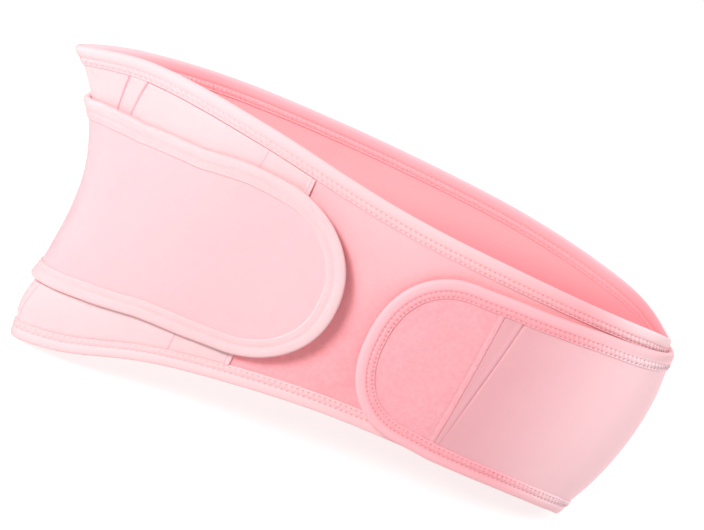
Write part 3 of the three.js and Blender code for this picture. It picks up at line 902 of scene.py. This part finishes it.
def makeWingSheet(name, node, wing, places, look, relief=None):
    shape = {
        "rows": 48, "pillow": 0.45 * mm, "pillowOver": 22 * mm, "pucker": 0.10 * mm, "puckerReach": 5 * mm,
    }
    ride = wingRide(wing)
    tree = outlineTree(wing, ride)

    def pointAt(i, j):
        place = places[i]
        low, high = wingEdges(wing, place)
        share = mixed(low, high, j / shape["rows"])
        base = clothPoint(place, share, ride)
        _, index, fromEdge = tree.find(base)
        inner = max(fromEdge - tape["width"], 0)
        rise = shape["pillow"] * eased(inner / shape["pillowOver"])
        fade = math.exp(-inner / shape["puckerReach"]) * eased(fromEdge / tape["width"])
        rise += shape["pucker"] * math.sin(index * 0.9) * fade
        if relief:
            rise += relief(place, share)
        return base + wallNormal(place, share) * rise, (place * perStation, share * wallHeight(place))

    bm = clothGrid(len(places) - 1, shape["rows"], pointAt)
    area = clothArea(bm)
    piece = finishedPiece(name, bm, materials[look], node, flip=places[-1] > places[0])
    return thickened(piece, cloth["wing"]), area


def makePatch(name, node, wing):
    # a pad under the wing, set in from its tape
    shape = {"across": 30, "rows": 40, "inset": tape["width"] + 3 * mm}
    drop = cloth["wing"] / 2 + tape["gap"] + cloth["patch"] / 2
    start, stop = wing["patch"]
    turn = 1 if wing["tipFrom"] > wing["tipAt"] else -1
    inner = dict(wing, tipAt=wing["tipAt"] + turn * shape["inset"] / (form["length"] / 4))

    def ride(place, share):
        return wingRide(wing)(place, share) - drop

    def pointAt(i, j):
        place = mixed(start, stop, i / shape["across"])
        low, high = wingEdges(inner, place, shape["inset"] / wallHeight(place))
        share = mixed(low, high, j / shape["rows"])
        return clothPoint(place, share, ride), (place * perStation, share * wallHeight(place))

    bm = clothGrid(shape["across"], shape["rows"], pointAt)
    area = clothArea(bm)
    piece = finishedPiece(name, bm, materials["hookTape"], node, flip=stop > start)
    return thickened(piece, cloth["patch"], bevel=0.2 * mm), area


def makeWingTape(name, node, wing, sign, look):
    return makeTape(name, node, edgeOfWing(wing), False, sign, wingRide(wing), cloth["wing"], look, look,
                    False)


# columns of the wings' sheets: how many in a tip, and the steps in stations after it
columns = {"tip": 26, "coarse": 0.035, "fine": 0.008, "fineUpTo": 2.0}

leftPlaces = tipPlaces(leftWing, columns["tip"])
leftPlaces += stepsBetween(leftWing["tipFrom"], leftWing["end"], columns["coarse"])
leftSheet, leftArea = makeWingSheet("leftWing", "left_wing", leftWing, leftPlaces, "leftWingCloth")
leftTape, frames = makeWingTape("leftWingBinding", "left_wing_binding", leftWing, -1, "leftTape")
leftThread = makeThread("leftWingStitches", frames, False, cloth["wing"], 1, "paleThread",
                        sunk=0.22 * mm)
leftPatch, leftPatchArea = makePatch("leftHookPatch", "left_hook_patch", leftWing)
print("left wing made")


# the ridge and dip beside each of the right wing's two sewn lines: height, place and width in mm
seamStation = 0.11  # metres along the wall from one station to the next, by the two lines
hemRelief = [(0.45, 1.2, 1.6), (-0.35, 4.0, 1.0)]
foldRelief = [(-0.7, 0.0, 0.8), (0.25, 2.2, 1.4)]


def sewnRelief(relief, away):
    return sum(height * bell(away / mm - at, width) for height, at, width in relief) * mm


def tipHem(place, share):
    return sewnRelief(hemRelief, (place - rightWing["join"]) * seamStation)


def foldLine(place, share):
    line = mixed(foldAt["low"], foldAt["high"], share / foldAt["height"])
    strength = eased((share - 0.08) / 0.35)  # fades toward its foot
    return sewnRelief(foldRelief, (place - line) * seamStation) * strength


joinHalf = 0.2 * mm / (form["length"] / 4)
velourPlaces = tipPlaces(rightWing, columns["tip"])
velourPlaces += stepsBetween(rightWing["tipFrom"], rightWing["join"] + joinHalf, columns["fine"])
elasticPlaces = stepsBetween(rightWing["join"] - joinHalf, columns["fineUpTo"], columns["fine"])[:-1]
elasticPlaces += stepsBetween(columns["fineUpTo"], rightWing["end"], columns["coarse"])
tipSheet, tipArea = makeWingSheet("rightWingTip", "right_wing_tip", rightWing, velourPlaces, "rightTipVelour",
                                  tipHem)
elasticSheet, elasticArea = makeWingSheet("rightWing", "right_wing", rightWing, elasticPlaces, "elastic",
                                          foldLine)
rightTape, frames = makeWingTape("rightWingBinding", "right_wing_binding", rightWing, 1, "rightTape")
rightThread = makeThread("rightWingStitches", frames, False, cloth["wing"], 1, "pinkThread")
rightPatch, rightPatchArea = makePatch("rightHookPatch", "right_hook_patch", rightWing)
print("right wing made")

for label, area in (("band", bandArea), ("panel", panelArea), ("left wing", leftArea), ("tip", tipArea),
                    ("elastic", elasticArea), ("left patch", leftPatchArea), ("right patch", rightPatchArea)):
    print("flat area", label, round(area, 5))


# floor, light and camera
stageLook = {"floor": (0.20, 0.20, 0.20), "glow": 0.82, "sky": (1.0, 0.94, 0.95), "skyStrength": 0.13}
floorMesh = bmesh.new()
bmesh.ops.create_grid(floorMesh, x_segments=1, y_segments=1, size=6.0)
floorData = bpy.data.meshes.new("floor")
floorMesh.to_mesh(floorData)
floorMesh.free()
floor = bpy.data.objects.new("floor", floorData)
bpy.context.collection.objects.link(floor)
floorMaterial = bpy.data.materials.new("floorPaper")
floorMaterial.use_nodes = True
paper = floorMaterial.node_tree.nodes["Principled BSDF"].inputs
paper["Base Color"].default_value = (*stageLook["floor"], 1)
paper["Roughness"].default_value = 0.9
paper["Emission Color"].default_value = (1, 1, 1, 1)
paper["Emission Strength"].default_value = stageLook["glow"]
floorData.materials.append(floorMaterial)

world = bpy.data.worlds.new("studio")
world.use_nodes = True
sky = world.node_tree.nodes["Background"].inputs
sky["Color"].default_value = (*stageLook["sky"], 1)
sky["Strength"].default_value = stageLook["skyStrength"]
bpy.context.scene.world = world

view = {
    "azimuth": math.radians(-20.97), "elevation": math.radians(27.62), "roll": math.radians(29.11),
    "distance": 2.0, "aim": Vector((-2.41, 5.74, 122.73)) * mm, "lens": 153.4,
}
back = Vector((math.sin(view["azimuth"]) * math.cos(view["elevation"]),
               -math.cos(view["azimuth"]) * math.cos(view["elevation"]), math.sin(view["elevation"])))
level = (-back).cross(Vector((0, 0, 1))).normalized()
upright = level.cross(-back)
right = level * math.cos(view["roll"]) + upright * math.sin(view["roll"])
up = upright * math.cos(view["roll"]) - level * math.sin(view["roll"])
cameraData = bpy.data.cameras.new("camera")
cameraData.lens = view["lens"]
cameraData.sensor_width = 36
camera = bpy.data.objects.new("camera", cameraData)
bpy.context.collection.objects.link(camera)
turn = Matrix((right, up, back)).transposed().to_4x4()
camera.matrix_world = Matrix.Translation(view["aim"] + back * view["distance"]) @ turn
bpy.context.scene.camera = camera

lamps = [
    # name, direction toward the lamp, distance, size, power
    ("key", (-0.64, -0.53, 0.55), 1.8, 0.42, 42),
    ("side", (0.87, -0.10, 0.55), 2.0, 1.2, 26),
    ("behind", (0.10, 0.75, 0.65), 2.0, 1.2, 25),
]
for name, direction, distance, width, power in lamps:
    lampData = bpy.data.lights.new(name, "AREA")
    lampData.size = width
    lampData.energy = power
    lamp = bpy.data.objects.new(name, lampData)
    bpy.context.collection.objects.link(lamp)
    away = Vector(direction).normalized()
    facing = away.to_track_quat("Z", "Y").to_matrix().to_4x4()
    lamp.matrix_world = Matrix.Translation(view["aim"] + away * distance) @ facing

bpy.context.scene.view_settings.view_transform = "Standard"
print("stage set")
